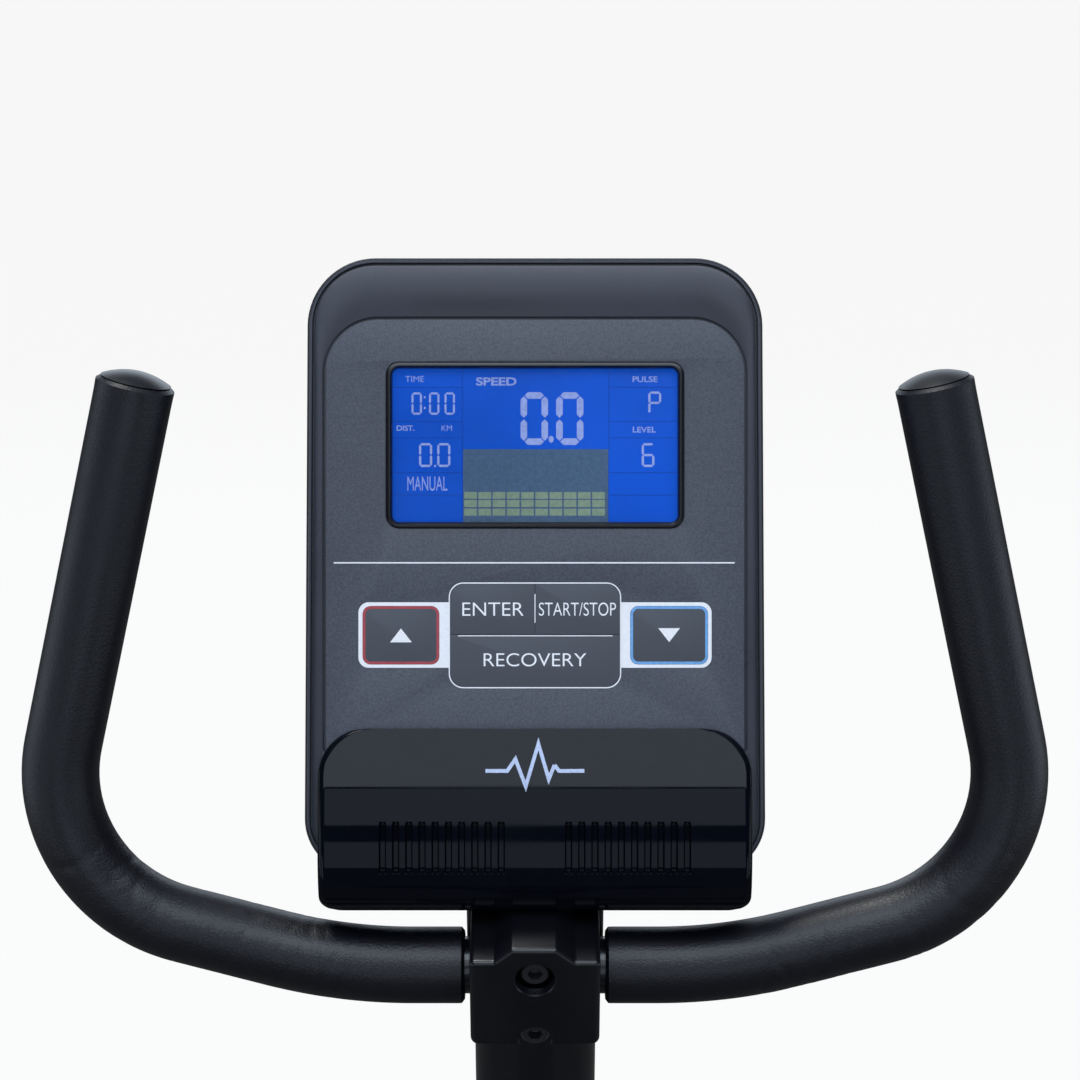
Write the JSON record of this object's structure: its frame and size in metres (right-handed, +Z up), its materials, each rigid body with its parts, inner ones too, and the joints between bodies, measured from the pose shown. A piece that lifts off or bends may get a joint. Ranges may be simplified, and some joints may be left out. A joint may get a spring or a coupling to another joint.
{
  "type": "upright exercise bike",
  "caption": "Upright magnetic exercise bike: tilted console with keys over a padded U handlebar, adjustable saddle, belt drive in side shells, floor bars with levelling caps.",
  "frame": {"origin": "on the floor, at the middle of the bike's box seen from above", "axes": "+Z up, +Y towards the front of the bike (the way the rider faces), +X to the rider's right"},
  "size_m": [0.524, 0.972, 1.3503],
  "materials": {
    "frame_paint": "satin black powder coat",
    "bar_paint": "satin black paint on the handlebar tube",
    "plastic_black": "black moulded plastic, fine texture",
    "cover_gloss": "polished piano black",
    "bezel_plastic": "dark slate grey, satin",
    "overlay_film": "slate grey printed film with a fine texture",
    "key_film": "slate grey printed film, white prints",
    "lens": "clear polished window",
    "lcd": "blue backlit display",
    "board": "green solder mask",
    "foam": "black closed-cell foam, matte",
    "steel": "zinc plated steel",
    "bolt_black": "black oxide",
    "cast_iron": "machined rim, painted web",
    "belt_rubber": "ribbed black rubber",
    "wheel_rubber": "black rubber",
    "saddle_skin": "black synthetic leather with a fine grain",
    "cable_rubber": "black cable sheath"
  },
  "bodies": {
    "frame": {"main_frame": "frame_paint", "front_stabilizer": "frame_paint", "rear_stabilizer": "frame_paint", "front_end_cap_left": "plastic_black", "front_end_cap_right": "plastic_black", "handlebar_post": "frame_paint", "handlebar_clamp": "frame_paint", "clamp_cover": "plastic_black", "clamp_bolt_upper": "bolt_black", "clamp_bolt_lower": "bolt_black", "neck_cover": "plastic_black", "post_collar": "plastic_black", "sensor_cable": "cable_rubber", "seat_sleeve": "plastic_black", "console_back_shell": "plastic_black", "console_front_shell": "bezel_plastic", "console_overlay": "overlay_film", "display_lens": "lens", "display_module": "lcd", "circuit_board": "board", "console_lower_cover": "cover_gloss", "shell_left": "plastic_black", "shell_right": "plastic_black", "power_socket": "plastic_black", "bottom_bracket": "steel", "flywheel_axle": "steel", "drive_belt": "belt_rubber", "tension_motor": "plastic_black"},
    "crank": {"crank_axle": "steel", "drive_pulley": "plastic_black", "crank_arm_left": "frame_paint", "crank_arm_right": "frame_paint", "crank_disc_left": "plastic_black", "crank_disc_right": "plastic_black", "pedal_spindle_left": "steel", "pedal_spindle_right": "steel"},
    "pedal_left": {"pedal_left": "plastic_black"},
    "pedal_right": {"pedal_right": "plastic_black"},
    "flywheel": {"flywheel": "cast_iron"},
    "magnet_bracket": {"magnet_bracket": "steel"},
    "handlebar": {"handlebar": "bar_paint", "grip_left": "foam", "grip_right": "foam", "grip_cap_left": "plastic_black", "grip_cap_right": "plastic_black"},
    "seat_post": {"seat_post": "frame_paint"},
    "saddle": {"slider_carriage": "frame_paint", "saddle_base": "plastic_black", "saddle_pad": "saddle_skin"},
    "slider_knob": {"slider_knob": "plastic_black"},
    "height_knob": {"height_knob": "plastic_black"},
    "key_up": {"key_up": "key_film"},
    "key_down": {"key_down": "key_film"},
    "key_enter": {"key_enter": "key_film"},
    "key_start_stop": {"key_start_stop": "key_film"},
    "key_recovery": {"key_recovery": "key_film"},
    "level_cap_left": {"rear_end_cap_left": "plastic_black"},
    "level_cap_right": {"rear_end_cap_right": "plastic_black"},
    "wheel_left": {"transport_wheel_left": "wheel_rubber"},
    "wheel_right": {"transport_wheel_right": "wheel_rubber"}
  },
  "joints": [
    {"name": "crank_spin", "type": "hinge", "parent": "frame", "child": "crank", "pos_m": [0, -0.01, 0.31], "axis": [1, 0, 0], "continuous": true},
    {"name": "flywheel_spin", "type": "hinge", "parent": "frame", "child": "flywheel", "pos_m": [0, 0.18, 0.29], "axis": [1, 0, 0], "continuous": true},
    {"name": "pedal_left_spin", "type": "hinge", "parent": "crank", "child": "pedal_left", "pos_m": [0, -0.14926, 0.40751], "axis": [1, 0, 0], "continuous": true},
    {"name": "pedal_right_spin", "type": "hinge", "parent": "crank", "child": "pedal_right", "pos_m": [0, 0.12926, 0.21249], "axis": [1, 0, 0], "continuous": true},
    {"name": "magnet_tension", "type": "hinge", "parent": "frame", "child": "magnet_bracket", "pos_m": [0, 0.22104, 0.17724], "axis": [1, 0, 0], "range_deg": [0, 8]},
    {"name": "handlebar_tilt", "type": "hinge", "parent": "frame", "child": "handlebar", "pos_m": [0, 0.179, 1.0565], "axis": [1, 0, 0], "range_deg": [-15, 15]},
    {"name": "seat_height", "type": "slide", "parent": "frame", "child": "seat_post", "axis": [0, -0.309, 0.9511], "range_m": [-0.07, 0.13]},
    {"name": "seat_slide", "type": "slide", "parent": "seat_post", "child": "saddle", "axis": [0, 1, 0], "range_m": [-0.04, 0.04]},
    {"name": "slider_knob_turn", "type": "hinge", "parent": "saddle", "child": "slider_knob", "pos_m": [0, -0.24186, 0.773], "axis": [1, 0, 0], "range_deg": [0, 360]},
    {"name": "height_knob_pull", "type": "slide", "parent": "frame", "child": "height_knob", "axis": [0, 0.9511, 0.309], "range_m": [0, 0.012], "stiffness_N_per_m": 1500, "springref_m": -0.004},
    {"name": "key_up_press", "type": "slide", "parent": "frame", "child": "key_up", "axis": [0, -0.9063, 0.4226], "range_m": [-0.0008, 0], "stiffness_N_per_m": 400, "springref_m": 0.0006},
    {"name": "key_down_press", "type": "slide", "parent": "frame", "child": "key_down", "axis": [0, -0.9063, 0.4226], "range_m": [-0.0008, 0], "stiffness_N_per_m": 400, "springref_m": 0.0006},
    {"name": "key_enter_press", "type": "slide", "parent": "frame", "child": "key_enter", "axis": [0, -0.9063, 0.4226], "range_m": [-0.0008, 0], "stiffness_N_per_m": 400, "springref_m": 0.0006},
    {"name": "key_start_stop_press", "type": "slide", "parent": "frame", "child": "key_start_stop", "axis": [0, -0.9063, 0.4226], "range_m": [-0.0008, 0], "stiffness_N_per_m": 400, "springref_m": 0.0006},
    {"name": "key_recovery_press", "type": "slide", "parent": "frame", "child": "key_recovery", "axis": [0, -0.9063, 0.4226], "range_m": [-0.0008, 0], "stiffness_N_per_m": 400, "springref_m": 0.0006},
    {"name": "level_cap_left_turn", "type": "hinge", "parent": "frame", "child": "level_cap_left", "pos_m": [-0.226, -0.448, 0.038], "axis": [1, 0, 0], "range_deg": [0, 315]},
    {"name": "wheel_left_spin", "type": "hinge", "parent": "frame", "child": "wheel_left", "pos_m": [-0.241, 0.462, 0.027], "axis": [1, 0, 0], "continuous": true},
    {"name": "level_cap_right_turn", "type": "hinge", "parent": "frame", "child": "level_cap_right", "pos_m": [0.226, -0.448, 0.038], "axis": [1, 0, 0], "range_deg": [0, 315]},
    {"name": "wheel_right_spin", "type": "hinge", "parent": "frame", "child": "wheel_right", "pos_m": [0.241, 0.462, 0.027], "axis": [1, 0, 0], "continuous": true}
  ],
  "couplings": [
    {"joint": "flywheel_spin", "follows": "crank_spin", "ratio": 6.875}
  ]
}
